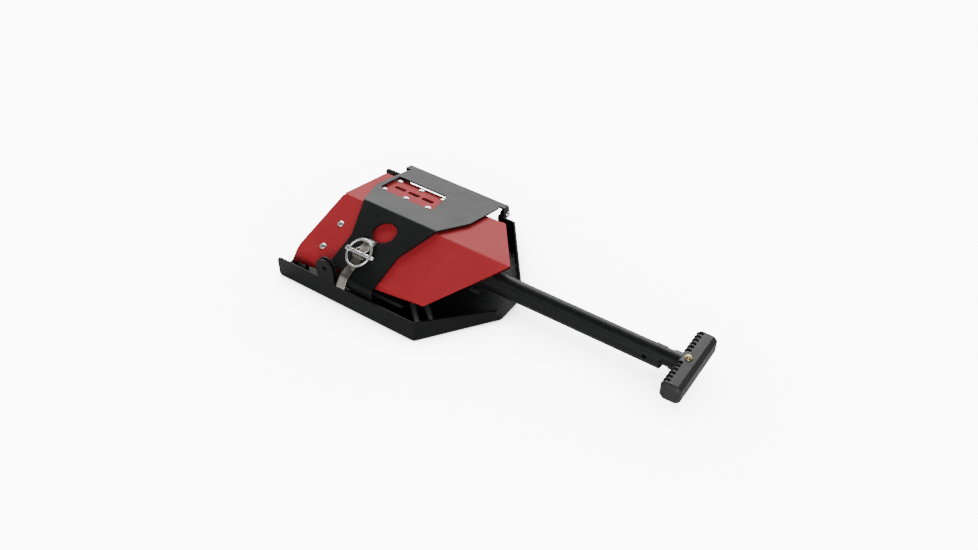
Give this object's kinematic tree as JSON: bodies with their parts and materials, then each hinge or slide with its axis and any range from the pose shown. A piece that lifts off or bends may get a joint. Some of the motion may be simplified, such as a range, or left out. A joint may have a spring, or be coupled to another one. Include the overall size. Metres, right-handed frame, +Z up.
{
  "type": "locking shovel mount",
  "caption": "Folding steel tray and hinged cover that lock a telescoping shovel flat, with a draw latch, lynch pin, padlock tabs and a sliding T-handle.",
  "frame": {"origin": "on the tray's underside, midway between the tray's two open ends and under the shaft's axis", "axes": "+X along the shaft towards the T-handle, +Y across the tray towards the cover's hinge, +Z up from the tray's underside"},
  "size_m": [0.6417, 0.2997, 0.0914],
  "materials": {
    "black_powder_coat": "satin fine-texture powder coat",
    "red_coat": "satin red coat",
    "black_tube": "satin anodised tube",
    "black_plastic": "matt moulded plastic",
    "black_rubber": "matt rubber",
    "stainless": "brushed",
    "zinc": "bright zinc plate",
    "brass": "satin",
    "bare_aluminium": "mill finish"
  },
  "bodies": {
    "mount_base": {"tray": "black_powder_coat", "tray_padlock_tab": "black_powder_coat", "shaft_rest": "black_rubber", "blade_rest_front": "black_rubber", "blade_rest_rear": "black_rubber", "latch_keeper": "stainless", "hinge_bolt_right": "zinc", "hinge_bolt_left": "zinc", "hinge_nut_right": "zinc", "hinge_nut_left": "zinc", "blade": "red_coat", "blade_stiffener": "bare_aluminium", "blade_rivet_1": "zinc", "blade_rivet_2": "zinc", "blade_rivet_3": "zinc", "blade_rivet_4": "zinc", "blade_rivet_5": "zinc", "blade_rivet_6": "zinc", "blade_rivet_7": "zinc", "blade_rivet_8": "zinc", "blade_rivet_9": "zinc", "blade_rivet_10": "zinc", "blade_rivet_11": "zinc", "outer_tube": "black_tube", "outer_tube_plug": "black_plastic", "socket_screw_1": "zinc", "socket_screw_2": "zinc", "guide_bush": "black_plastic"},
    "sliding_grip": {"inner_tube": "black_tube", "slide_bush": "black_plastic", "button_spring": "stainless", "t_handle": "black_plastic", "handle_washer": "brass", "handle_screw": "brass"},
    "button": {"snap_button": "zinc"},
    "cover": {"cover": "black_powder_coat", "cover_padlock_tab": "black_powder_coat", "cover_pad_front": "black_rubber", "cover_pad_rear": "black_rubber", "latch_base": "stainless", "latch_rivet_1": "zinc", "latch_rivet_2": "zinc", "lever_axle": "zinc"},
    "lever": {"latch_lever": "stainless", "claw_axle": "zinc"},
    "claw": {"latch_claw": "stainless"},
    "pin": {"lock_pin": "zinc"},
    "ring": {"lock_ring": "zinc"}
  },
  "joints": [
    {"name": "shaft_slide", "type": "slide", "parent": "mount_base", "child": "sliding_grip", "axis": [1, 0, 0], "range_m": [0, 0.472]},
    {"name": "button_press", "type": "slide", "parent": "sliding_grip", "child": "button", "axis": [0, 1, 0], "range_m": [0, 0.002], "stiffness_N_per_m": 600, "springref_m": -0.002},
    {"name": "cover_hinge", "type": "hinge", "parent": "mount_base", "child": "cover", "pos_m": [-0.035, 0.151, 0.031], "axis": [-1, 0, 0], "range_deg": [0, 110]},
    {"name": "lever_hinge", "type": "hinge", "parent": "cover", "child": "lever", "pos_m": [-0.042, -0.0652, 0.07636], "axis": [-1, 0, 0], "range_deg": [0, 95]},
    {"name": "claw_hinge", "type": "hinge", "parent": "lever", "child": "claw", "pos_m": [-0.042, -0.09307, 0.06834], "axis": [-1, 0, 0], "range_deg": [0, 8]},
    {"name": "pin_slide", "type": "slide", "parent": "lever", "child": "pin", "axis": [-1, 0, 0], "range_m": [0, 0.05]},
    {"name": "ring_hinge", "type": "hinge", "parent": "pin", "child": "ring", "pos_m": [-0.061, -0.09131, 0.07488], "axis": [0, -0.8476, -0.5306], "range_deg": [0, 120]}
  ]
}
